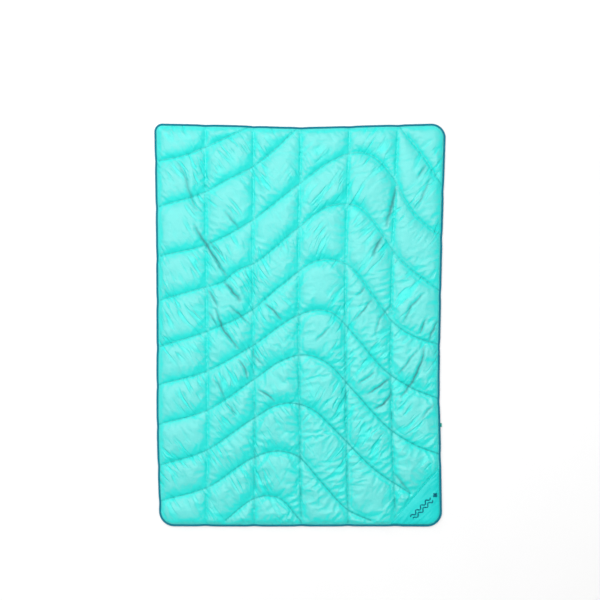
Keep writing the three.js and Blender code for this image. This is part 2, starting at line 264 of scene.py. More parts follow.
def seam_routes(step):
    """Every seam's points and tangents: the verticals, then the waves, then the patch's."""
    routes = [even_route(line, True, step) for line in VERTICALS]
    routes += [even_route(line, False, step) for line in WAVES]
    routes.append(even_route(PATCH_LINE, False, step))
    return routes


PATCH_ROUTE = len(VERTICALS) + len(WAVES)


def search_tree(points):
    """A search tree over places on the plan, which gives back their numbers in the list."""
    tree = kdtree.KDTree(len(points))
    for number, (x, y) in enumerate(points):
        tree.insert((x, y, 0), number)
    tree.balance()
    return tree


class SeamNet:
    """Finds each point's nearest seam of each kind."""

    def __init__(self):
        routes = seam_routes(1.0)
        kinds = {
            "vertical": range(len(VERTICALS)),
            "wave": range(len(VERTICALS), PATCH_ROUTE),
            "patch": [PATCH_ROUTE],
        }
        self.found = {}
        for kind, members in kinds.items():
            points = np.concatenate([routes[i][0] for i in members])
            tangents = np.concatenate([routes[i][1] for i in members])
            route = np.concatenate([np.full(len(routes[i][0]), i) for i in members])
            along = np.concatenate([np.arange(len(routes[i][0])) for i in members])
            self.found[kind] = (search_tree(points), points, tangents, route, along)

    def nearest(self, x, y, kind):
        """Distance, route, place along it in millimetres, and side of the nearest seam."""
        tree, points, tangents, route, along = self.found[kind]
        index = np.array([tree.find((px, py, 0))[1] for px, py in zip(x, y)])
        from_x = x - points[index, 0]
        from_y = y - points[index, 1]
        tangent = tangents[index]
        side = np.sign(tangent[:, 0] * from_y - tangent[:, 1] * from_x)
        return np.hypot(from_x, from_y), route[index], along[index], side


def under_patch(x, y):
    return (x > PATCH_SEAM[0][0] - 1) & (y < PATCH_LINE(x) - 0.01)


def swell(distance, reach):
    """A quarter-round rise: nothing at a seam, full at a reach from it."""
    left = 1 - np.clip(distance / reach, 0, 1)
    return np.sqrt(1 - left * left)


class Surface:
    """The quilt's heights over the plan, worked out from its seams."""

    def __init__(self, outline, net, x, y):
        self.x, self.y = x, y
        self.inside = outline.inside_by(x, y)
        self.vertical = net.nearest(x, y, "vertical")
        self.wave = net.nearest(x, y, "wave")
        self.patch = net.nearest(x, y, "patch")
        self.patched = under_patch(x, y)
        rim = swell(self.inside - RIM_INSET, RIM_SWELL)
        self.base = swell(self.inside - RIM_INSET, RIM_SWELL / 2)
        wave_away = np.minimum(self.wave[0], self.patch[0])
        quilted = swell(wave_away, WAVE_SWELL) * swell(self.vertical[0], CHANNEL_SWELL)
        self.full = rim * np.where(self.patched, swell(self.patch[0], WAVE_SWELL), quilted)

    def seam_high(self):
        return RIM_HIGH + (SEAM_HIGH - RIM_HIGH) * self.base

    def top(self, crown):
        rise = np.where(self.patched, PATCH_SWELL_HIGH, crown - SEAM_HIGH)
        return self.seam_high() + rise * self.full

    def bottom(self):
        low = RIM_LOW + (SEAM_LOW - RIM_LOW) * self.base
        return low * (1 - np.minimum(1, 2 * self.full))

    def seam_away(self):
        """Distance to the nearest seam of any kind; under the patch only its own counts."""
        away = np.minimum(np.minimum(self.wave[0], self.vertical[0]), self.patch[0])
        return np.where(self.patched, self.patch[0], away)


def triangles(points, edges, border, nearest):
    """Triangles that fill a border and keep to the edges, with only the points that they use."""
    flat = [Vector(point) for point in points]
    verts, _, faces, *_ = geometry.delaunay_2d_cdt(flat, edges, [list(border)], 1, nearest)
    used, corners = np.unique(np.array([tuple(face) for face in faces]), return_inverse=True)
    return np.array([tuple(vert) for vert in verts])[used], corners.reshape(-1, 3)


def grid_inside(outline, low, high, spacing, inset):
    """Places in staggered rows between two corners, half a spacing clear of an inset outline."""
    places = []
    for row, y in enumerate(np.arange(low[1], high[1], spacing * math.sqrt(3) / 2)):
        x = np.arange(low[0] + (row % 2) * spacing / 2, high[0], spacing)
        inside = outline.inside_by(x, np.full_like(x, y)) > inset + spacing / 2
        places += [(px, y) for px in x[inside]]
    return places


def plan_mesh(outline, spacing, rim_step, folds=()):
    """Triangles over the blanket's plan, with edges along the rim, every seam and the folds."""
    rim = outline.loop(QUILT_INSET, rim_step)
    inner = outline.loop(RIM_INSET, rim_step)
    chains = [(rim, True), (inner, True)]
    chains += [(points, False) for points, _ in seam_routes(spacing)]
    chains += [(points, False) for points in folds]
    points, edges = [], []
    for chain, closed in chains:
        first = len(points)
        points += [tuple(point) for point in chain]
        edges += [(first + i, first + i + 1) for i in range(len(chain) - 1)]
        if closed:
            edges.append((len(points) - 1, first))
    tree = search_tree(points)
    far = (HALF_WIDTH, HALF_LENGTH)
    for x, y in grid_inside(outline, (-HALF_WIDTH, -HALF_LENGTH), far, spacing, RIM_INSET):
        if tree.find((x, y, 0))[2] > spacing * 0.6:
            points.append((x, y))
    return triangles(points, edges, range(len(rim)), 0.6)


# ---------------------------------------------------------------- the filled shell

# Main creases, as soft troughs: (depth, half width, route), in millimetres
CREASES = [
    (5.0, 7, [(-334, 320), (-304, 266), (-276, 226), (-250, 183), (-228, 149)]),
    (2.6, 5, [(-291, 269), (-254, 233), (-240, 214)]),
    (4.8, 7, [(-240, 140), (-220, 116), (-202, 93), (-186, 72)]),
    (3.0, 6, [(-291, 110), (-266, 75), (-254, 55)]),
    (5.0, 6, [(-267, 56), (-249, 10), (-247, -4), (-216, -47), (-203, -64), (-186, -78)]),
    (2.6, 5, [(-287, 44), (-270, 14), (-260, -3)]),
    (2.8, 5, [(-225, 63), (-190, 34), (-157, 0)]),
    (3.4, 5, [(-193, -105), (-176, -129), (-165, -173)]),
    (2.4, 6, [(-237, 362), (-206, 320), (-189, 300)]),
    (2.4, 7, [(-387, 515), (-363, 474), (-348, 416), (-322, 358)]),
    (3.8, 5, [(-111, 67), (-80, 45), (-56, 14)]),
    (3.6, 5, [(-135, -201), (-107, -214), (-76, -238)]),
    (2.6, 5, [(-274, -166), (-254, -190), (-237, -231)]),
    (2.4, 5, [(-234, -242), (-213, -262), (-203, -286)]),
    (2.4, 5, [(-148, -74), (-145, -95), (-114, -129)]),
    (3.4, 9, [(305, 440), (291, 389), (267, 307)]),
    (3.8, 9, [(261, 279), (243, 252), (226, 215)]),
    (2.4, 6, [(394, 505), (380, 480), (366, 457)]),
    (2.4, 6, [(411, 464), (386, 410), (363, 362)]),
    (2.6, 5, [(206, 120), (192, 104), (175, 90)]),
    (2.8, 5, [(230, 83), (199, 45), (165, 11)]),
    (2.4, 5, [(288, 66), (264, 38), (243, 8), (235, -33)]),
    (2.8, 6, [(390, 103), (349, 59), (322, 4)]),
    (3.2, 5, [(397, 25), (386, -4), (377, -30)]),
    (3.6, 5, [(438, 21), (411, -26), (404, -54)]),
    (5.0, 6, [(394, -61), (377, -129), (349, -184), (315, -231)]),
    (2.8, 5, [(370, -78), (338, -118), (308, -156)]),
    (4.2, 5, [(284, -166), (243, -197), (209, -218)]),
    (2.6, 5, [(237, -146), (210, -166), (182, -187)]),
    (4.0, 6, [(288, -214), (261, -249), (233, -266)]),
    (2.4, 5, [(96, -6), (72, -30), (49, -54)]),
    (2.4, 5, [(421, -245), (400, -270), (380, -296)]),
    (2.6, 6, [(295, -466), (312, -487), (346, -524)]),
]


# How far a crease wanders to each side of its route
CREASE_WANDER = 3.4


def crease_line(route, step):
    """Points along a crease, which wanders a little from its straight route."""
    points = np.array(route, float)
    lengths = np.concatenate(([0], np.cumsum(np.hypot(*np.diff(points, axis=0).T))))
    count = max(2, round(lengths[-1] / step))
    at = np.linspace(0, lengths[-1], count + 1)
    line = np.column_stack([np.interp(at, lengths, column) for column in points.T])
    wander = CREASE_WANDER * noise_over(line[:, 0] / 22, line[:, 1] / 22, 4.4)
    lean = line[-1] - line[0]
    sideways = np.array((-lean[1], lean[0])) / np.hypot(*lean)
    return line + wander[:, None] * sideways


def crease_relief(x, y):
    """How far the main creases sink the cloth, and where painted shade darkens their valleys."""
    relief = np.zeros_like(x)
    deep = np.zeros_like(x)
    for depth, width, route in CREASES:
        line = crease_line(route, 1.0)
        reach = 4 * width
        near = (
            (x > line[:, 0].min() - reach) & (x < line[:, 0].max() + reach)
            & (y > line[:, 1].min() - reach) & (y < line[:, 1].max() + reach)
        )
        away = np.hypot(x[near, None] - line[:, 0], y[near, None] - line[:, 1])
        nearest = away.argmin(axis=1)
        distance = away[np.arange(len(nearest)), nearest]
        distance *= 1 + 0.5 * noise_over(x[near] / 8, y[near] / 8, 6.6)
        fade = np.sqrt(np.clip(np.sin(math.pi * nearest / (len(line) - 1)), 0, 1))
        trough = np.exp(-distance / (0.6 * width))
        lip = np.exp(-(((distance - 1.7 * width) / (0.9 * width)) ** 2))
        relief[near] += depth * fade * (0.35 * lip - trough)
        # Painted shade along the crease's valley
        mask = fade * min(1, depth / 4) * np.exp(-((distance / (0.55 * width)) ** 2))
        deep[near] = np.maximum(deep[near], mask)
    return relief, deep


# The folds that lean in from each side: (their lean, the side that they are strongest on)
DRAG_LEANS = ((math.radians(-57), -1), (math.radians(52), 1))
DRAG_BEND = 24


def drag_places(x, y):
    """For the folds that lean in from each side: along them, across them, and how strong."""
    places = []
    for lean, side in DRAG_LEANS:
        run = x * math.cos(lean) + y * math.sin(lean)
        across = y * math.cos(lean) - x * math.sin(lean)
        bend = DRAG_BEND * noise_over(x / 150, y / 150, 5.5)
        patchy = np.clip(0.4 + 2 * noise_over(x / 90, y / 90, 8.1 + side), 0, 1)
        share = np.clip(0.5 + side * x / 220, 0, 1) * patchy
        places.append(np.column_stack((run, across + bend, share)))
    return places


def drag_folds(places):
    """Broad soft folds that lean in towards the middle, down the left and down the right."""
    folds = np.zeros(len(places[0]))
    for side, place in enumerate(places):
        run, across, share = place.T
        folds += share * noise_over(run / 110, across / 21, 2.2 + side)
    return folds


def smoothed(values, faces, passes):
    """A value for each point, averaged over and over with its neighbours'."""
    ends = np.concatenate([faces[:, [0, 1]], faces[:, [1, 2]], faces[:, [2, 0]]])
    ends = np.concatenate([ends, ends[:, ::-1]])
    number = np.bincount(ends[:, 0], minlength=len(values))
    for _ in range(passes):
        total = np.bincount(ends[:, 0], values[ends[:, 1]], minlength=len(values))
        values = 0.5 * values + 0.5 * total / number
    return values


# Where the flat cloth's painted sheen gives way to painted shade: on slopes, in degrees, that fall
# towards the foot and the right, away from the light, on steeper ones whichever way they fall, in
# hollows so deep and beside the seams
AWAY_FROM_LIGHT = (0.5, -0.866)
FALLING_SLOPES = (4, 17)
ANY_SLOPES = (16, 34)
FULL_HOLLOW = 0.8
HOLLOW_PASSES = 12
SHADE_BESIDE_SEAMS = 4
MOST_WHEN_FALLING, MOST_WHEN_STEEP, MOST_IN_HOLLOWS = 0.9, 0.7, 0.35


def between(values, ends):
    """0 at the first end and before it, 1 at the second and after it."""
    return np.clip((values - ends[0]) / (ends[1] - ends[0]), 0, 1)


def painted_shade_amount(points, faces):
    """How much painted shade each point takes, in place of the flat cloth's painted sheen, for the
    way that the cloth lies there.
    """
    corners = [points[faces[:, i]] for i in range(3)]
    normals = np.cross(corners[1] - corners[0], corners[2] - corners[0])
    total = np.column_stack([
        sum(np.bincount(faces[:, i], column, minlength=len(points)) for i in range(3))
        for column in normals.T
    ])
    falling = np.degrees(np.arctan2(total[:, :2] @ np.array(AWAY_FROM_LIGHT), total[:, 2]))
    slope = np.degrees(np.arctan2(np.hypot(total[:, 0], total[:, 1]), total[:, 2]))
    steep = np.maximum(MOST_WHEN_FALLING * between(falling, FALLING_SLOPES),
                       MOST_WHEN_STEEP * between(slope, ANY_SLOPES))
    hollow = (smoothed(points[:, 2], faces, HOLLOW_PASSES) - points[:, 2]) / FULL_HOLLOW
    return np.clip(steep + MOST_IN_HOLLOWS * np.clip(hollow, 0, 1), 0, 1)


def make_piece(name, verts, faces):
    """A new object from points in millimetres and lists of corners."""
    mesh = bpy.data.meshes.new(name)
    mesh.from_pydata((np.asarray(verts) * MM).tolist(), [], [list(map(int, f)) for f in faces])
    mesh.polygons.foreach_set("use_smooth", [True] * len(mesh.polygons))
    mesh.update()
    piece = bpy.data.objects.new(name, mesh)
    bpy.context.scene.collection.objects.link(piece)
    return piece


def remove_piece(piece):
    mesh = piece.data
    bpy.data.objects.remove(piece)
    bpy.data.meshes.remove(mesh)


def evaluated_points(piece, count):
    graph = bpy.context.evaluated_depsgraph_get()
    points = np.empty(count * 3)
    piece.evaluated_get(graph).data.vertices.foreach_get("co", points)
    return points.reshape(-1, 3) / MM


def inflate(points, faces, pinned, sizes):
    """Blows the front shell up between its seams and returns where its points come to rest."""
    piece = make_piece("shell_in_the_making", points, faces)
    held = piece.vertex_groups.new(name="sewn")
    held.add([int(i) for i in np.nonzero(pinned)[0]], 1.0, "REPLACE")
    cloth = piece.modifiers.new("filling", "CLOTH")
    cloth.point_cache.frame_start = 1
    cloth.point_cache.frame_end = sizes.settle_frames
    cloth.collision_settings.use_collision = False
    settings = cloth.settings
    settings.quality = 4
    settings.mass = 0.1
    settings.effector_weights.gravity = 0
    settings.tension_stiffness = 15
    settings.compression_stiffness = 15
    settings.shear_stiffness = 5
    settings.bending_stiffness = sizes.cloth_stiffness
    settings.vertex_group_mass = "sewn"
    settings.pin_stiffness = 1
    settings.use_pressure = True
    settings.uniform_pressure_force = sizes.filling_pressure
    settings.shrink_min = -sizes.spare_cloth
    for step in range(1, sizes.settle_frames + 1):
        bpy.context.scene.frame_set(step)
    rest = evaluated_points(piece, len(points))
    bpy.context.scene.frame_set(1)
    remove_piece(piece)
    moved = rest - points
    length = np.linalg.norm(moved, axis=1)[:, None]
    return points + moved * np.minimum(1, sizes.most_move / MM / np.maximum(length, 1e-6))


# Within this of a seam the shell is held; folds ease in over these from the rim and the seams
SEWN_WITHIN = 0.8
RIM_EASE = 20
SEAM_EASE = 25
LEAST_THICK = 2.5


def front_shell(outline, net, sizes):
    """The upper shell's points, triangles and masks: puffed between the seams and creased."""
    spacing = sizes.mesh_step / MM
    folds = [crease_line(route, spacing) for _, _, route in CREASES]
    plan, faces = plan_mesh(outline, spacing, spacing, folds)
    x, y = plan.T
    surface = Surface(outline, net, x, y)
    crown = CROWN_HIGH + CROWN_UNEVEN * noise_over(x / 170, y / 170, 3.1)
    full_top = surface.top(crown)
    pinned = surface.seam_away() < SEWN_WITHIN
    pinned |= surface.inside < RIM_INSET + 0.5
    pinned |= surface.patched
    start = surface.seam_high() + 0.5 * (full_top - surface.seam_high())
    start[surface.patched] = full_top[surface.patched]
    points = inflate(np.column_stack((x, y, start)), faces, pinned, sizes)
    softened = smoothed(points[:, 2], faces, sizes.broad_passes)
    share = sizes.wrinkle_share * pucker_share(x, y) * ~pinned
    points[:, 2] = full_top + share * (points[:, 2] - softened)
    free = ~surface.patched & (surface.inside > RIM_INSET + 0.5)
    ease = swell(surface.inside - RIM_INSET, RIM_EASE) * np.where(surface.patched, 0, 1)
    # deep: where painted shade darkens the creases
    sunk, deep = crease_relief(x, y)
    puckers = gathers(surface, sizes.pucker_depth / MM, 8) * pucker_share(x, y)
    drags = drag_places(x, y)
    broad = sizes.fold_depth / MM * drag_folds(drags) * swell(surface.seam_away(), SEAM_EASE)
    points[:, 2] += (sunk + puckers + broad) * ease
    lowest = surface.bottom() + LEAST_THICK
    points[free, 2] = np.maximum(points[free, 2], lowest[free])
    return points, faces, surface, deep * ease, drags


# The puckers' strength where they are weakest; where they are strongest it is 1
LEAST_PUCKER = 0.45


def pucker_share(x, y):
    """The sewn puckers are strongest low down on the right, weakest up at the left."""
    low = np.clip((260 - y) / 500, 0, 1)
    right = np.clip((x + 330) / 300, 0, 1)
    return LEAST_PUCKER + 0.55 * low * right


def pucker_tilt(x):
    """How the puckers along the vertical seams lean: up towards each side of the blanket."""
    return 0.55 * np.clip(x / 150, -1, 1)


# The small folds along a seam, each drawn at random between two ends, in millimetres
GATHER_APART = (7, 17)
GATHER_REACH = (8, 34)
GATHER_TILT = (-0.5, 0.5)
GATHER_WIDTH = (2.8, 5.0)
GATHER_FARTHEST = 70


def gathers(surface, deep, seed):
    """Small folds that run out from the seams, a different set along each one."""
    draw = random.Random(seed)
    relief = np.zeros_like(surface.x)
    for found in (surface.vertical, surface.wave):
        distance, route, along, side = found
        upright = found is surface.vertical
        for number in np.unique(route):
            for which in (-1, 1):
                beside = (route == number) & (side == which) & (distance < GATHER_FARTHEST)
                here = np.nonzero(beside)[0]
                lean = -which * pucker_tilt(surface.x[here].mean()) if upright and len(here) else 0
                here = here[np.argsort(along[here], kind="stable")]
                places = along[here]
                at = 0.0
                last = places[-1] if len(places) else 0
                while at < last:
                    at += draw.uniform(*GATHER_APART)
                    reach = draw.uniform(*GATHER_REACH)
                    tilt = lean + draw.uniform(*GATHER_TILT)
                    width = draw.uniform(*GATHER_WIDTH)
                    first, end = np.searchsorted(places, (at - 60, at + 60))
                    near = here[first:end]
                    d = distance[near]
                    off = (along[near] - at - tilt * d) / (width * (1 + d / 60))
                    rise = (1 - np.exp(-d / 3)) * np.exp(-d / reach)
                    relief[near] -= deep * draw.uniform(0.4, 1) * np.exp(-off * off) * rise
    return relief


def seam_runs(surface):
    """For the two kinds of seam, where each point lies in metres: (along, away, how near)."""
    runs = []
    for found, reach in ((surface.vertical, 13), (surface.wave, 11)):
        distance, route, along, side = found
        near = np.exp(-distance / reach) * np.where(distance < 65, 1, 0)
        away = distance * side
        lean = pucker_tilt(surface.x) * away if found is surface.vertical else 0
        runs.append(np.column_stack(((along + lean) * MM + 2.0 * route, away * MM, near)))
    return runs


# How far to each side of the two kinds of seam the painted shade fades
VERTICAL_SHADE_REACH = 3.4
WAVE_SHADE_REACH = 1.6


def seam_shade_masks(surface):
    """How much painted shade darkens the cloth along the two kinds of seam."""
    shown = np.where(surface.patched, 0, 1)
    share = (pucker_share(surface.x, surface.y) - LEAST_PUCKER) / 0.55
    vertical = (0.3 + 0.7 * share) * np.exp(-surface.vertical[0] / VERTICAL_SHADE_REACH) * shown
    wave = (0.6 + 0.4 * share) * np.exp(-surface.wave[0] / WAVE_SHADE_REACH) * shown
    return vertical, wave


def boundary_edges(faces):
    """The directed edges that only one triangle has."""
    edges = np.concatenate([faces[:, [0, 1]], faces[:, [1, 2]], faces[:, [2, 0]]])
    known = {(int(a), int(b)) for a, b in edges}
    return [(a, b) for a, b in known if (b, a) not in known]


def join_shells(front, front_faces, back, back_faces):
    """One closed body from the two shells, walled together along the rim."""
    rim = boundary_edges(front_faces)
    back_rim = sorted({vertex for edge in boundary_edges(back_faces) for vertex in edge})
    tree = search_tree(back[back_rim][:, :2])
    shift = len(front)
    match = {}
    for a in {vertex for edge in rim for vertex in edge}:
        nearest = tree.find((front[a][0], front[a][1], 0))[1]
        match[a] = shift + back_rim[nearest]
    walls = []
    for a, b in rim:
        walls.append((a, match[a], match[b]))
        walls.append((a, match[b], b))
    turned = back_faces[:, ::-1] + shift
    faces = np.concatenate((front_faces, turned, np.array(walls)))
    return np.concatenate((front, back)), faces


# ---------------------------------------------------------------- thread

THREAD_SIDES = 5


def thread_piece(name, centres, along, length, radius):
    """Many short threads in one mesh: each thick in its middle and dipping in at its ends."""
    centres, along = np.asarray(centres, float), np.asarray(along, float)
    along = along / np.linalg.norm(along, axis=1)[:, None]
    across = np.column_stack((-along[:, 1], along[:, 0], np.zeros(len(along))))
    across /= np.linalg.norm(across, axis=1)[:, None]
    up = np.cross(along, across)
    rings = ((-0.5, 0.4, -0.9), (0.0, 1.0, 0.0), (0.5, 0.4, -0.9))
    points = []
    for share, thick, dip in rings:
        for side in range(THREAD_SIDES):
            angle = 2 * math.pi * side / THREAD_SIDES
            offset = (
                along * share * length
                + across * radius * thick * math.cos(angle)
                + up * radius * (thick * math.sin(angle) + dip)
            )
            points.append(centres + offset)
    size = len(rings) * THREAD_SIDES
    verts = np.stack(points, axis=1).reshape(-1, 3)
    corners = []
    for ring in range(len(rings) - 1):
        for side in range(THREAD_SIDES):
            a = ring * THREAD_SIDES + side
            b = ring * THREAD_SIDES + (side + 1) % THREAD_SIDES
            corners.append((a, b, b + THREAD_SIDES, a + THREAD_SIDES))
    first_cap = tuple(reversed(range(THREAD_SIDES)))
    last_cap = tuple(range(size - THREAD_SIDES, size))
    faces = []
    for i in range(len(centres)):
        faces += [tuple(c + i * size for c in corner) for corner in corners]
        faces.append(tuple(c + i * size for c in first_cap))
        faces.append(tuple(c + i * size for c in last_cap))
    return make_piece(name, verts, faces)


def seam_thread_places(outline, net, pitch, under):
    """Centres and directions of the stitches in every quilting seam, on one side."""
    centres, along = [], []
    for points, tangents in seam_routes(pitch)[:PATCH_ROUTE]:
        x, y = points.T
        surface = Surface(outline, net, x, y)
        height = surface.bottom() - 0.05 if under else surface.seam_high() + 0.1
        keep = np.ones(len(x), bool) if under else ~surface.patched & (surface.patch[0] > 2)
        centres.append(np.column_stack((x, y, height))[keep])
        along.append(np.column_stack((tangents, np.zeros(len(x))))[keep])
    return np.concatenate(centres), np.concatenate(along)


# ---------------------------------------------------------------- binding, patch and tab

# The tape's section, folded round the quilt's edge: (distance in, height, how much it gathers)
TAPE_SECTION = [
    (0.0, 1.9, 0.6), (0.0, 3.6, 1.0), (0.25, 4.5, 1.0), (0.9, 5.2, 1.0), (1.9, 5.55, 1.0),
    (3.4, 5.6, 1.0), (4.9, 5.25, 0.4), (5.7, 5.4, 1.0), (6.3, 5.2, 1.0), (6.35, 4.75, 0.5),
    (6.2, 4.6, 0.0), (1.5, 4.6, 0.0), (1.3, 4.3, 0.0), (1.3, 1.3, 0.0), (1.5, 1.0, 0.0),
    (6.2, 1.0, 0.0), (6.35, 0.8, 0.0), (6.3, 0.2, 0.0), (5.9, 0.0, 0.0), (1.6, 0.0, 0.0),
    (0.5, 0.5, 0.3),
]
STITCH_LINE = 4.9


def tape_ripple(count, step, seed):
    """A light ripple along the tape, short and long waves together, that closes on itself."""
    angle = 2 * math.pi * np.arange(count) / count
    draw = random.Random(seed)
    girth = count * step
    ripple = np.zeros(count)
    for wave_length, share in ((8.5, 0.5), (13, 0.35), (31, 0.35), (70, 0.3)):
        for _ in range(3):
            turns = round(girth / wave_length * draw.uniform(0.85, 1.15))
            ripple += share / 3 * np.sin(turns * angle + draw.uniform(0, 2 * math.pi))
    return ripple


def make_binding(outline, step, ripple_deep):
    loops = [outline.loop(inset, step) for inset, _, _ in TAPE_SECTION]
    count = len(loops[0])
    rise = ripple_deep * tape_ripple(count, step, 11)
    lean = ripple_deep * tape_ripple(count, step, 12)
    verts, faces = [], []
    middle = outline.loop(3.0, step)
    for (inset, height, gather), loop in zip(TAPE_SECTION, loops):
        inward = middle - outline.loop(2.0, step)
        shift = gather * np.abs(lean)[:, None] * inward * (1 if inset < 3 else -1)
        z = height + gather * rise * (1 if height > 3 else 0)
        verts.append(np.column_stack((loop + shift, z)))
    for section in range(len(TAPE_SECTION)):
        after = (section + 1) % len(TAPE_SECTION)
        for i in range(count):
            j = (i + 1) % count
            faces.append((section * count + i, section * count + j, after * count + j,
                          after * count + i))
    return make_piece("binding_tape", np.concatenate(verts), faces)


def binding_thread_places(outline, pitch):
    loop = outline.loop(STITCH_LINE, pitch)
    along = np.roll(loop, -1, axis=0) - np.roll(loop, 1, axis=0)
    centres = np.column_stack((loop, np.full(len(loop), TAPE_HEIGHT - 0.25)))
    return centres, np.column_stack((along, np.zeros(len(loop))))


def patch_plan(outline, spacing):
    """Triangles over the corner patch: its seam, the binding's edge and a grid between."""
    rim = outline.loop(PATCH_INSET, spacing)
    rim = rim[under_patch(rim[:, 0], rim[:, 1] + 0.8)]
    right = rim[rim[:, 1].argmax()]
    left = rim[rim[:, 0].argmin()]
    x = np.arange(right[0], left[0], -spacing * 0.7)[1:-1]
    loop = np.concatenate((rim, np.column_stack((x, PATCH_LINE(x) - PATCH_BACK))))
    low, high = loop.min(axis=0), loop.max(axis=0)
    grid = [(px, y) for px, y in grid_inside(outline, low, high, spacing, PATCH_INSET)
            if PATCH_LINE(px) - y > spacing * 0.9]
    edges = [(i, (i + 1) % len(loop)) for i in range(len(loop))]
    return triangles([tuple(point) for point in loop] + grid, edges, range(len(loop)), 0.2)


# How deep the patch's folds pulled from the binding are, its soft waves, the gathers along its
# seam and the turn of its sewn edge
PULLED_DEEP, SOFT_DEEP, GATHERED_DEEP, EDGE_DEEP = 3.6, 0.9, 0.3, 0.8


def patch_heights(outline, net, x, y):
    """The patch's upper face: low and soft, with slight gathers along its seam."""
    surface = Surface(outline, net, x, y)
    height = surface.top(CROWN_HIGH) + GAP + PATCH_THICK
    away, _, along, _ = surface.patch
    gather = np.sin(along / 2.6 + 1.7 * np.sin(along / 11)) * np.exp(-away / 9)
    soft = noise_over(x / 45, y / 45, 7.7)
    pulled = noise_over((x - y) / 11, (x + y) / 48, 9.9)
    rim = PULLED_DEEP * pulled * np.exp(-(surface.inside - RIM_INSET) / 26)
    gathered = GATHERED_DEEP * gather * (1 - np.exp(-away / 2))
    waves = gathered + (SOFT_DEEP * soft + rim) * surface.base
    return height + waves - EDGE_DEEP * np.exp(-away / 0.8)


def make_patch(outline, net, spacing):
    plan, faces = patch_plan(outline, spacing)
    x, y = plan.T
    lower = Surface(outline, net, x, y).top(CROWN_HIGH) + 1.5 * GAP
    upper = np.maximum(patch_heights(outline, net, x, y), lower + 0.4)
    verts, faces = join_shells(
        np.column_stack((plan, upper)), faces, np.column_stack((plan, lower)), faces)
    return make_piece("corner_patch_panel", verts, faces)


def patch_thread_places(outline, net, pitch):
    points, tangents = even_route(PATCH_LINE, False, pitch)
    inward = np.column_stack((tangents[:, 1], -tangents[:, 0]))
    points = points + 2.2 * inward
    keep = outline.inside_by(points[:, 0], points[:, 1]) > RIM_INSET + 1
    points, tangents = points[keep], tangents[keep]
    height = patch_heights(outline, net, points[:, 0], points[:, 1]) + 0.12
    return np.column_stack((points, height)), np.column_stack((tangents, np.zeros(len(points))))


# The patch's sewn motif: two ripples, one beside the other, and a small lozenge after them
MOTIF_START = (352, -607)
MOTIF_ANGLE = math.radians(45)
RIPPLE_LONG = 86
RIPPLE_WAVE = 21.5
RIPPLE_HIGH = 4.4
RIPPLE_APART = 11
LOZENGE_HALF = 8.5
SATIN_PITCH = 0.55
SATIN_WIDTH = 4.4
SATIN_RADIUS = 0.34


def motif_lines():
    """The middles of the motif's sewn lines on the patch."""
    u = np.linspace(0, RIPPLE_LONG, 60)
    v = RIPPLE_HIGH * np.sin(2 * math.pi * u / RIPPLE_WAVE)
    lines = [np.column_stack((u, v + RIPPLE_APART / 2 * side)) for side in (-1, 1)]
    middle = RIPPLE_LONG + 2 * LOZENGE_HALF
    for share in (-0.7, -0.35, 0, 0.35, 0.7):
        reach = LOZENGE_HALF * (1 - abs(share))
        across = share * LOZENGE_HALF
        lines.append(np.array([(middle - reach, across), (middle + reach, across)]))
    cos, sin = math.cos(MOTIF_ANGLE), math.sin(MOTIF_ANGLE)
    turn = np.array([(cos, sin), (-sin, cos)])
    return [np.array(MOTIF_START) + line @ turn for line in lines]


def satin_places(line):
    """Points close together along a line, with the directions that run across it."""
    gaps = np.diff(line, axis=0)
    lengths = np.concatenate(([0], np.cumsum(np.hypot(*gaps.T))))
    at = np.arange(SATIN_PITCH / 2, lengths[-1], SATIN_PITCH)
    points = np.column_stack([np.interp(at, lengths, column) for column in line.T])
    run = gaps[np.clip(np.searchsorted(lengths, at) - 1, 0, len(gaps) - 1)]
    return points, np.column_stack((-run[:, 1], run[:, 0]))


def motif_places(outline, net):
    """Satin stitches laid across the motif's lines, one close beside the next."""
    places = [satin_places(line) for line in motif_lines()]
    centres, across = (np.concatenate(part) for part in zip(*places))
    height = patch_heights(outline, net, centres[:, 0], centres[:, 1]) + 0.3
    return (np.column_stack((centres, height)),
            np.column_stack((across, np.zeros(len(across)))))


def make_tab():
    """A woven label folded in two, its fold outward and its ends at the binding."""
    low, high = (np.array(corner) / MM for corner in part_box("side_tab"))
    reach, width, thick = high - low
    layer = 0.8
    middle = (low[2] + high[2]) / 2
    bend = [math.radians(angle) for angle in range(-90, 91, 15)]
    outer = [(reach - thick / 2 + thick / 2 * math.cos(a), thick / 2 * math.sin(a)) for a in bend]
    hollow = thick / 2 - layer
    inner = [(reach - thick / 2 + hollow * math.cos(a), hollow * math.sin(a))
             for a in reversed(bend)]
    section = [(0, -thick / 2)] + outer + [(0, thick / 2), (0, hollow)] + inner + [(0, -hollow)]
    rows = 13
    verts, faces = [], []
    for row in range(rows):
        share = row / (rows - 1)
        curl = 0.35 * math.sin(math.pi * share)
        y = low[1] + width * share
        verts += [(low[0] + u * (1 - 0.03 * curl), y, middle + v + curl * u / reach)
                  for u, v in section]
    size = len(section)
    for row in range(rows - 1):
        for i in range(size):
            j = (i + 1) % size
            faces.append((row * size + i, (row + 1) * size + i, (row + 1) * size + j,
                          row * size + j))
    faces.append(tuple(reversed(range(size))))
    faces.append(tuple((rows - 1) * size + i for i in range(size)))
    return make_piece("side_tab_label", verts, faces)


# ---------------------------------------------------------------- node groups and materials


def new_group(name, inputs, outputs):
    """An empty shader group: inputs as (name, default), None for a vector; outputs as names."""
    group = bpy.data.node_groups.new(name, "ShaderNodeTree")
    for label, default in inputs:
        kind = "NodeSocketVector" if default is None else "NodeSocketFloat"
        socket = group.interface.new_socket(name=label, in_out="INPUT", socket_type=kind)
        if default is not None:
            socket.default_value = default
    for label in outputs:
        group.interface.new_socket(name=label, in_out="OUTPUT", socket_type="NodeSocketFloat")
    return group, group.nodes.new("NodeGroupInput"), group.nodes.new("NodeGroupOutput")


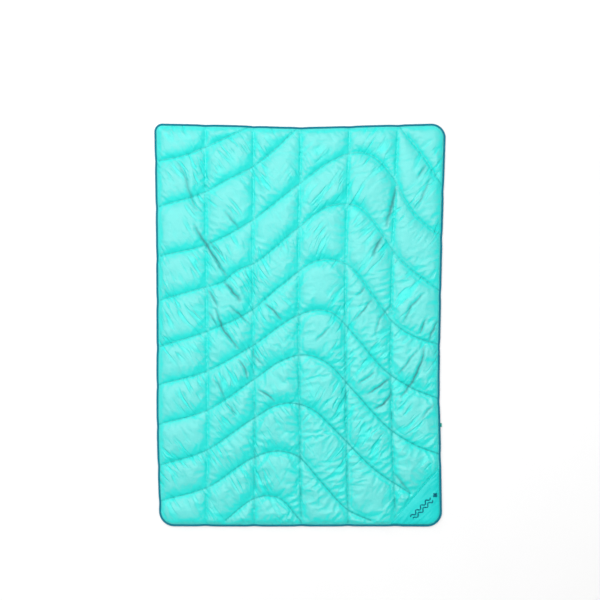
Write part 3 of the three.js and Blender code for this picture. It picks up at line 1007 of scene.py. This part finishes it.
def math_node(tree, operation, first, second=None, third=None):
    node = tree.nodes.new("ShaderNodeMath")
    node.operation = operation
    for socket, value in zip(node.inputs, (first, second, third)):
        if isinstance(value, bpy.types.NodeSocket):
            tree.links.new(value, socket)
        elif value is not None:
            socket.default_value = value
    return node.outputs[0]


def object_coordinates(tree):
    return tree.nodes.new("ShaderNodeTexCoord").outputs["Object"]


def split_vector(tree, vector):
    """The three numbers of a vector."""
    node = tree.nodes.new("ShaderNodeSeparateXYZ")
    tree.links.new(vector, node.inputs[0])
    return node.outputs


def vector_of(tree, *numbers):
    """A vector from its first numbers; the others are 0."""
    node = tree.nodes.new("ShaderNodeCombineXYZ")
    for number, socket in zip(numbers, node.inputs):
        tree.links.new(number, socket)
    return node.outputs[0]


def noise_node(tree, vector, scale, detail, roughness=0.5):
    node = tree.nodes.new("ShaderNodeTexNoise")
    tree.links.new(vector, node.inputs["Vector"])
    if isinstance(scale, bpy.types.NodeSocket):
        tree.links.new(scale, node.inputs["Scale"])
    else:
        node.inputs["Scale"].default_value = scale
    node.inputs["Detail"].default_value = detail
    node.inputs["Roughness"].default_value = roughness
    return node.outputs["Fac"]


def weave_group():
    """A plain weave: threads crossing over and under at a given spacing in metres."""
    group, given, result = new_group(
        "Plain weave", [("Thread spacing", 0.0005), ("Slubs", 0.3)], ["Height"])
    place = object_coordinates(group)
    turns = math_node(group, "DIVIDE", math.pi, given.outputs["Thread spacing"])
    warp, weft = (math_node(group, "SINE", math_node(group, "MULTIPLY", across, turns))
                  for across in split_vector(group, place)[:2])
    over = math_node(group, "MULTIPLY", warp, weft)
    woven = math_node(group, "MULTIPLY_ADD", over, 0.5, 0.5)
    slub = noise_node(group, place, 420, 2)
    uneven = math_node(group, "MULTIPLY", slub, given.outputs["Slubs"])
    group.links.new(math_node(group, "ADD", woven, uneven), result.inputs["Height"])
    return group


def crinkle_group():
    """Fine soft crinkles of light cloth, and a mask of where it is worn a little paler."""
    group, given, result = new_group(
        "Cloth crinkle", [("Scale", 60.0), ("Fine", 0.35)], ["Height", "Mottle"])
    place = object_coordinates(group)
    broad = noise_node(group, place, given.outputs["Scale"], 3, 0.55)
    fine_scale = math_node(group, "MULTIPLY", given.outputs["Scale"], 3.7)
    fine = noise_node(group, place, fine_scale, 2, 0.5)
    height = math_node(group, "MULTIPLY_ADD", fine, given.outputs["Fine"], broad)
    group.links.new(height, result.inputs["Height"])
    mottle = noise_node(group, place, 9.0, 4, 0.6)
    group.links.new(mottle, result.inputs["Mottle"])
    return group


def pucker_group():
    """Fine puckers across a seam, and how strong the painted shade along it is from place to place.
    """
    group, given, result = new_group(
        "Seam puckers", [("Run", None), ("Spacing", 140.0)], ["Height", "Line"])
    along, away, near = split_vector(group, given.outputs["Run"])
    line = vector_of(group, along)
    lean = noise_node(group, line, 14.0, 1)
    tilt = math_node(group, "MULTIPLY_ADD", lean, 3.0, -1.5)
    shifted = math_node(group, "MULTIPLY_ADD", away, tilt, along)
    place = vector_of(group, shifted, math_node(group, "MULTIPLY", away, 0.14))
    folds = noise_node(group, place, given.outputs["Spacing"], 1.5)
    patchy = ranged(group, noise_node(group, line, 26.0, 2), 0.35, 0.62, 0.15, 1)
    strength = math_node(group, "MULTIPLY", near, patchy)
    group.links.new(math_node(group, "MULTIPLY", folds, strength), result.inputs["Height"])
    group.links.new(patchy, result.inputs["Line"])
    return group


def streak_group():
    """Long narrow folds in cloth that is pulled, and a mask of where they run, for painted shade
    along them.
    """
    group, given, result = new_group(
        "Drag streaks", [("Run", None), ("Spacing", 72.0)], ["Height", "Streak shade"])
    along, across, strength = split_vector(group, given.outputs["Run"])
    place = vector_of(group, math_node(group, "MULTIPLY", along, 0.17), across)
    folds = noise_node(group, place, given.outputs["Spacing"], 2)
    streak = math_node(group, "MULTIPLY", ranged(group, folds, 0.5, 0.6, 0, 1), strength)
    group.links.new(math_node(group, "MULTIPLY", streak, -1.0), result.inputs["Height"])
    group.links.new(streak, result.inputs["Streak shade"])
    return group


GROUPS = {}


def shared_group(name):
    """Each shared group, built the first time that a material asks for it."""
    makers = {"weave": weave_group, "crinkle": crinkle_group, "puckers": pucker_group,
              "streaks": streak_group}
    if name not in GROUPS:
        GROUPS[name] = makers[name]()
    return GROUPS[name]


def placed(tree, name, **values):
    node = tree.nodes.new("ShaderNodeGroup")
    node.node_tree = shared_group(name)
    for label, value in values.items():
        node.inputs[label.replace("_", " ")].default_value = value
    return node


def mixed_colour(tree, factor, first, second):
    node = tree.nodes.new("ShaderNodeMix")
    node.data_type = "RGBA"
    tree.links.new(factor, node.inputs["Factor"])
    for socket, value in ((node.inputs["A"], first), (node.inputs["B"], second)):
        if isinstance(value, bpy.types.NodeSocket):
            tree.links.new(value, socket)
        else:
            socket.default_value = (*value, 1)
    return node.outputs["Result"]


def bump(tree, height, distance, strength, below=None):
    node = tree.nodes.new("ShaderNodeBump")
    node.inputs["Distance"].default_value = distance
    node.inputs["Strength"].default_value = strength
    tree.links.new(height, node.inputs["Height"])
    if below is not None:
        tree.links.new(below, node.inputs["Normal"])
    return node.outputs["Normal"]


def ranged(tree, value, low, high, to_low, to_high):
    node = tree.nodes.new("ShaderNodeMapRange")
    tree.links.new(value, node.inputs["Value"])
    for label, number in (("From Min", low), ("From Max", high),
                          ("To Min", to_low), ("To Max", to_high)):
        node.inputs[label].default_value = number
    return node.outputs["Result"]


def new_material(name):
    """A material, its nodes and its shader."""
    material = bpy.data.materials.new(name)
    material.use_nodes = True
    tree = material.node_tree
    return material, tree, tree.nodes["Principled BSDF"]


def tone_colour(tree, shader, mask, colour, gain, lift):
    """A colour that turns a little paler where the mask says."""
    paler = tuple(min(1, channel * gain + lift) for channel in colour)
    tree.links.new(mixed_colour(tree, mask, colour, paler), shader.inputs["Base Color"])


def cloth_material(name, colour, roughness, thread, weave_depth, crinkle_scale, crinkle_depth,
                   gloss=0.5):
    """Woven cloth: a slightly mottled colour and roughness, with a weave and soft crinkles."""
    material, tree, shader = new_material(name)
    crinkle = placed(tree, "crinkle", Scale=crinkle_scale)
    weave = placed(tree, "weave", Thread_spacing=thread)
    tone = ranged(tree, crinkle.outputs["Mottle"], 0.35, 0.65, 0, 1)
    tone_colour(tree, shader, tone, colour, 1.06, 0.004)
    rough = ranged(tree, crinkle.outputs["Mottle"], 0.3, 0.7, roughness - 0.04, roughness + 0.04)
    tree.links.new(rough, shader.inputs["Roughness"])
    soft = bump(tree, crinkle.outputs["Height"], crinkle_depth, 1.0)
    woven = bump(tree, weave.outputs["Height"], weave_depth, 1.0, soft)
    tree.links.new(woven, shader.inputs["Normal"])
    shader.inputs["Specular IOR Level"].default_value = gloss
    return material


def attribute(tree, name, output):
    node = tree.nodes.new("ShaderNodeAttribute")
    node.attribute_name = name
    return node.outputs[output]


def shell_material(colours):
    """The shell's cloth: puckered beside its seams, with a painted sheen where it lies flat and
    painted shade on slopes, along streaks, in seams and in creases.
    """
    material = cloth_material(
        "Quilt fabric", colours.shell, 0.38, 0.0004, 0.00003, 110, 0.0006)
    tree = material.node_tree
    shader = tree.nodes["Principled BSDF"]
    colour = shader.inputs["Base Color"].links[0].from_socket
    # Painted shade on slopes away from the light, on steep slopes, in hollows and beside seams; the
    # shell colour left elsewhere is a painted sheen
    colour = mixed_colour(tree, attribute(tree, "painted_shade_share", "Fac"), colour, colours.shell_painted_shade)
    rough = shader.inputs["Roughness"].links[0].from_socket
    normal = shader.inputs["Normal"].links[0].from_socket
    for side, spacing in (("left", 72), ("right", 54)):
        streaks = placed(tree, "streaks", Spacing=spacing)
        tree.links.new(attribute(tree, side + "_drag", "Vector"), streaks.inputs["Run"])
        normal = bump(tree, streaks.outputs["Height"], 0.0018, 1.0, normal)
        # Painted shade along the streaks
        colour = mixed_colour(tree, streaks.outputs["Streak shade"], colour, colours.shell_painted_shade)
    for kind, depth in (("vertical", 0.0022), ("wave", 0.0014)):
        puckers = placed(tree, "puckers")
        tree.links.new(attribute(tree, kind + "_run", "Vector"), puckers.inputs["Run"])
        normal = bump(tree, puckers.outputs["Height"], depth, 1.0, normal)
        # Painted shade in the seams' grooves, patchy along the vertical seams
        mask = attribute(tree, kind + "_line", "Fac")
        if kind == "vertical":
            mask = math_node(tree, "MULTIPLY", mask, puckers.outputs["Line"])
        colour = mixed_colour(tree, mask, colour, colours.shell_seam_shade)
        rough = math_node(tree, "MAXIMUM", rough, mask)
    # Painted shade in the creases' valleys
    mask = attribute(tree, "crease_line", "Fac")
    colour = mixed_colour(tree, mask, colour, colours.crease)
    rough = math_node(tree, "MAXIMUM", rough, mask)
    tree.links.new(colour, shader.inputs["Base Color"])
    tree.links.new(rough, shader.inputs["Roughness"])
    tree.links.new(normal, shader.inputs["Normal"])
    return material


def thread_material(name, colour):
    """Twisted sewing thread: a sheen along it and fine turns."""
    material, tree, shader = new_material(name)
    crinkle = placed(tree, "crinkle", Scale=900.0)
    tone = ranged(tree, crinkle.outputs["Height"], 0.4, 0.9, 0, 1)
    tone_colour(tree, shader, tone, colour, 1.25, 0.01)
    tree.links.new(ranged(tree, tone, 0, 1, 0.7, 0.85), shader.inputs["Roughness"])
    tree.links.new(bump(tree, crinkle.outputs["Height"], 0.0001, 0.5), shader.inputs["Normal"])
    shader.inputs["Specular IOR Level"].default_value = 0.1
    return material


def dress(piece, material):
    piece.data.materials.clear()
    piece.data.materials.append(material)
    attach(piece, "root")


def write_values(piece, name, values):
    """Writes one number, or three, on each of a piece's points."""
    values = np.asarray(values, np.float32)
    kind, field = ("FLOAT", "value") if values.ndim == 1 else ("FLOAT_VECTOR", "vector")
    layer = piece.data.attributes.new(name, kind, "POINT")
    layer.data.foreach_set(field, values.ravel())


# ---------------------------------------------------------------- sizes and colours


def length_property(name, description, value, least=0.0):
    return FloatProperty(
        name=name, description=description, default=value, min=least, unit="LENGTH")


def number_property(name, description, value):
    return FloatProperty(name=name, description=description, default=value, min=0)


class BlanketSizes(bpy.types.PropertyGroup):
    """The sizes that set how the blanket is puffed, sewn and creased."""

    mesh_step: length_property(
        "Front mesh step", "Distance between the points of the front shell", 0.0042, 0.003)
    back_mesh_step: length_property(
        "Back mesh step", "Distance between the points of the back shell", 0.0085, 0.004)
    filling_pressure: number_property(
        "Filling pressure", "How hard the filling pushes the shell out", 4.0)
    spare_cloth: FloatProperty(
        name="Spare cloth", description="Share by which the shell is larger than its seams allow",
        default=0.03, min=0, max=0.1, subtype="FACTOR")
    cloth_stiffness: number_property(
        "Cloth stiffness", "Bending stiffness of the shell fabric", 0.1)
    most_move: length_property(
        "Most move", "The furthest a point may move while the shell fills", 0.016)
    settle_frames: IntProperty(
        name="Settling steps", description="Steps that the filled shell is given to settle",
        default=9, min=2)
    broad_passes: IntProperty(
        name="Broad shape passes", description="Averaging that parts wrinkles from broad shape",
        default=40, min=1)
    wrinkle_share: number_property(
        "Wrinkle share", "How much of the settled cloth's wrinkles is kept", 1.0)
    pucker_depth: length_property(
        "Pucker depth", "Depth of the small folds beside the face's seams", 0.0016)
    fold_depth: length_property(
        "Fold depth", "Depth of the broad folds that cross the puffs", 0.0018)
    gather_depth: length_property(
        "Gather depth", "Depth of the small folds beside the back's seams", 0.0009)
    edge_pinch: length_property(
        "Edge pinch", "How far the edge draws in where a seam meets it", 0.0013)
    stitch_pitch: length_property(
        "Stitch pitch", "Distance from one stitch to the next", 0.0038, 0.001)
    thread_radius: length_property("Thread radius", "Radius of the sewing thread", 0.00035)
    binding_step: length_property(
        "Binding step", "Distance between the binding's sections", 0.0033, 0.001)
    binding_ripple: length_property(
        "Binding ripple", "How much the sewn tape ripples", 0.00035)


def colour_property(name, description, value):
    return FloatVectorProperty(
        name=name, description=description, default=value, size=3, min=0, max=1,
        subtype="COLOR")


class BlanketColours(bpy.types.PropertyGroup):
    """The blanket's colours, in linear light."""

    # The flat cloth, its red raised as a painted sheen
    shell: colour_property("Shell", "Shell fabric", (0.084, 0.605, 0.57))
    # Painted shade on slopes away from the light, in hollows, beside seams and along the drag
    # streaks
    shell_painted_shade: colour_property("Shell in painted shade", "Shell fabric in painted shade", (0.006, 0.73, 0.665))
    # Painted shade in the seams
    shell_seam_shade: colour_property("Shell in painted seam shade", "Shell fabric with painted shade in its seams", (0.01, 0.33, 0.32))
    seam_thread: colour_property("Seam thread", "Thread of the seams", (0.006, 0.36, 0.34))
    # Painted shade in the creases
    crease: colour_property("Painted crease shade", "Shell fabric with painted shade in its creases", (0.05, 0.23, 0.24))
    binding: colour_property("Binding", "Edge tape", (0.0, 0.165, 0.235))
    patch: colour_property("Patch", "Corner patch fabric", (0.005, 0.58, 0.55))
    tab: colour_property("Tab", "Side label", (0.002, 0.33, 0.25))
    motif: colour_property("Motif", "Thread of the patch's motif", (0.0, 0.12, 0.18))
    floor: colour_property("Floor", "Studio floor", (0.85, 0.85, 0.85))


# ---------------------------------------------------------------- operators

WORK = {}


def plan_of(sizes):
    """The outline and the seam net, made once."""
    if not WORK:
        WORK["outline"] = Outline(sizes.edge_pinch / MM)
        WORK["net"] = SeamNet()
    return WORK["outline"], WORK["net"]


def build_shell(sizes, colours):
    outline, net = plan_of(sizes)
    front, front_faces, above, creased, drags = front_shell(outline, net, sizes)
    back_plan, back_faces = plan_mesh(outline, sizes.back_mesh_step / MM, sizes.mesh_step / MM)
    x, y = back_plan.T
    under = Surface(outline, net, x, y)
    folds = gathers(under, sizes.gather_depth / MM, 5) * under.base
    low = np.maximum(under.bottom() - folds, 0)
    verts, faces = join_shells(front, front_faces, np.column_stack((back_plan, low)), back_faces)
    piece = make_piece("quilted_shell", verts, faces)
    runs = [seam_runs(surface) for surface in (above, under)]
    for index, kind in enumerate(("vertical", "wave")):
        write_values(piece, kind + "_run", np.concatenate([run[index] for run in runs]))
    # Painted shade along each kind of seam, face and back
    lines = [seam_shade_masks(surface) for surface in (above, under)]
    for index, kind in enumerate(("vertical", "wave")):
        write_values(piece, kind + "_line", np.concatenate([line[index] for line in lines]))
    # Painted crease shade on the face, none on the back
    write_values(piece, "crease_line", np.concatenate((creased, np.zeros(len(under.x)))))
    for side, place in zip(("left", "right"), drags):
        still = np.zeros((len(under.x), 3))
        place = place * (MM, MM, 1) * np.column_stack([np.ones((len(place), 2)), ~above.patched])
        write_values(piece, side + "_drag", np.concatenate((place, still)))
    # Painted shade also beside every seam, none on points no higher than SEAM_LOW
    beside = np.concatenate([
        np.exp(-((surface.seam_away() / SHADE_BESIDE_SEAMS) ** 2)) for surface in (above, under)
    ])
    folded = np.maximum(painted_shade_amount(verts, faces), beside) * (verts[:, 2] > SEAM_LOW)
    write_values(piece, "painted_shade_share", folded)
    dress(piece, shell_material(colours))
    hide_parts("quilt")


def sew(name, places, share, sizes, material):
    """A row of stitches, each a share of the pitch long."""
    length = sizes.stitch_pitch / MM * share
    dress(thread_piece(name, *places, length, sizes.thread_radius / MM), material)


def build_seam_thread(sizes, colours):
    outline, net = plan_of(sizes)
    material = thread_material("Seam thread", colours.seam_thread)
    for name, under in (("seam_thread_face", False), ("seam_thread_back", True)):
        places = seam_thread_places(outline, net, sizes.stitch_pitch / MM, under)
        sew(name, places, 0.86, sizes, material)


def build_binding(sizes, colours):
    outline, _ = plan_of(sizes)
    piece = make_binding(outline, sizes.binding_step / MM, sizes.binding_ripple / MM)
    material = cloth_material(
        "Binding tape", colours.binding, 0.6, 0.0009, 0.00012, 90, 0.0003, gloss=0.1)
    dress(piece, material)
    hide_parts("binding")
    sew("binding_thread", binding_thread_places(outline, sizes.stitch_pitch / MM), 0.8, sizes,
        thread_material("Binding thread", colours.binding))


def build_patch(sizes, colours):
    outline, net = plan_of(sizes)
    piece = make_patch(outline, net, PATCH_STEP)
    material = cloth_material(
        "Patch fabric", colours.patch, 0.38, 0.0004, 0.00003, 50, 0.0005, gloss=0.25)
    dress(piece, material)
    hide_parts("corner_patch")
    sew("patch_thread", patch_thread_places(outline, net, sizes.stitch_pitch / MM), 0.84, sizes,
        thread_material("Patch thread", colours.seam_thread))
    motif = thread_piece("patch_motif", *motif_places(outline, net), SATIN_WIDTH, SATIN_RADIUS)
    dress(motif, thread_material("Motif thread", colours.motif))


def build_tab(sizes, colours):
    piece = make_tab()
    material = cloth_material("Tab fabric", colours.tab, 0.6, 0.0005, 0.00008, 200, 0.0001)
    dress(piece, material)
    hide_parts("side_tab")


class BLANKET_OT_shell(bpy.types.Operator):
    """Build the filled, quilted shell"""

    bl_idname = "blanket.shell"
    bl_label = "Quilted Shell"

    def execute(self, context):
        build_shell(context.scene.blanket_sizes, context.scene.blanket_colours)
        return {"FINISHED"}


class BLANKET_OT_seam_thread(bpy.types.Operator):
    """Lay the stitches in the quilting seams, on the face and underneath"""

    bl_idname = "blanket.seam_thread"
    bl_label = "Seam Thread"

    def execute(self, context):
        build_seam_thread(context.scene.blanket_sizes, context.scene.blanket_colours)
        return {"FINISHED"}


class BLANKET_OT_binding(bpy.types.Operator):
    """Fold the tape round the blanket's edge and stitch it"""

    bl_idname = "blanket.binding"
    bl_label = "Edge Binding"

    def execute(self, context):
        build_binding(context.scene.blanket_sizes, context.scene.blanket_colours)
        return {"FINISHED"}


class BLANKET_OT_patch(bpy.types.Operator):
    """Lay the corner patch with its stitches and its sewn motif"""

    bl_idname = "blanket.patch"
    bl_label = "Corner Patch"

    def execute(self, context):
        build_patch(context.scene.blanket_sizes, context.scene.blanket_colours)
        return {"FINISHED"}


class BLANKET_OT_tab(bpy.types.Operator):
    """Fold the small label that sticks out of the binding"""

    bl_idname = "blanket.tab"
    bl_label = "Side Tab"

    def execute(self, context):
        build_tab(context.scene.blanket_sizes, context.scene.blanket_colours)
        return {"FINISHED"}


# ---------------------------------------------------------------- stage

CAMERA_HIGH = 4.6
FRAME_WIDE = 1.8906
FRAME_UP = 0.0788
SENSOR = 36.0
FLOOR_HALF = 6.0
FLOOR_LOW = -0.4

# Round lamps in metres and watts: (name, place, size, power)
LAMPS = (
    ("soft_box", (-0.7, 1.2, 5.4), 6.0, 240),
    ("top_box", (-0.5, 1.6, 5.3), 2.6, 52),
    ("key_light", (-2.6, 3.4, 1.9), 1.4, 32),
)
AIR_LIGHT = 0.46


def area_light(name, place, size, power):
    """A round lamp that faces the middle of the blanket."""
    light = bpy.data.lights.new(name, "AREA")
    light.shape = "DISK"
    light.size = size
    light.energy = power
    thing = bpy.data.objects.new(name, light)
    bpy.context.scene.collection.objects.link(thing)
    thing.location = place
    thing.rotation_euler = (-thing.location).to_track_quat("-Z", "Y").to_euler()


def make_floor(colour):
    size = FLOOR_HALF / MM
    corners = [(-size, -size), (size, -size), (size, size), (-size, size)]
    piece = make_piece("studio_floor", [(*corner, FLOOR_LOW) for corner in corners], [(0, 1, 2, 3)])
    material, tree, shader = new_material("Studio floor")
    grain = noise_node(tree, object_coordinates(tree), 3.0, 2)
    tone_colour(tree, shader, grain, colour, 1.03, 0)
    shader.inputs["Roughness"].default_value = 0.9
    shader.inputs["Specular IOR Level"].default_value = 0.1
    piece.data.materials.append(material)
    return piece


def build_stage(colours):
    scene = bpy.context.scene
    lens = bpy.data.cameras.new("camera_above")
    lens.sensor_width = SENSOR
    lens.lens = SENSOR * CAMERA_HIGH / FRAME_WIDE
    camera = bpy.data.objects.new("camera_above", lens)
    scene.collection.objects.link(camera)
    camera.location = (0, FRAME_UP, CAMERA_HIGH)
    scene.camera = camera
    make_floor(colours.floor)
    for lamp in LAMPS:
        area_light(*lamp)
    world = bpy.data.worlds.new("studio_air")
    world.use_nodes = True
    background = world.node_tree.nodes["Background"]
    background.inputs["Color"].default_value = (1, 1, 1, 1)
    background.inputs["Strength"].default_value = AIR_LIGHT
    scene.world = world
    scene.view_settings.view_transform = "Standard"


class BLANKET_OT_stage(bpy.types.Operator):
    """Set the camera above the blanket, with a pale floor and soft studio light"""

    bl_idname = "blanket.stage"
    bl_label = "Studio Stage"

    def execute(self, context):
        build_stage(context.scene.blanket_colours)
        return {"FINISHED"}


class BLANKET_PT_builders(bpy.types.Panel):
    """The blanket's sizes, colours and builders"""

    bl_idname = "BLANKET_PT_builders"
    bl_label = "Puffy Blanket"
    bl_space_type = "VIEW_3D"
    bl_region_type = "UI"
    bl_category = "Blanket"

    def draw(self, context):
        layout = self.layout
        for settings in (context.scene.blanket_sizes, context.scene.blanket_colours):
            box = layout.box()
            for name in settings.__annotations__:
                box.prop(settings, name)
        for builder in BUILDERS:
            layout.operator(builder.bl_idname)


BUILDERS = (
    BLANKET_OT_stage,
    BLANKET_OT_shell,
    BLANKET_OT_seam_thread,
    BLANKET_OT_binding,
    BLANKET_OT_patch,
    BLANKET_OT_tab,
)
CLASSES = (BlanketSizes, BlanketColours, *BUILDERS, BLANKET_PT_builders)


def register():
    for cls in CLASSES:
        bpy.utils.register_class(cls)
    bpy.types.Scene.blanket_sizes = PointerProperty(type=BlanketSizes)
    bpy.types.Scene.blanket_colours = PointerProperty(type=BlanketColours)


def unregister():
    del bpy.types.Scene.blanket_colours
    del bpy.types.Scene.blanket_sizes
    for cls in reversed(CLASSES):
        bpy.utils.unregister_class(cls)


def main():
    register()
    bpy.ops.blanket.stage()
    bpy.ops.blanket.shell()
    bpy.ops.blanket.seam_thread()
    bpy.ops.blanket.binding()
    bpy.ops.blanket.patch()
    bpy.ops.blanket.tab()


if __name__ == "__main__":
    main()
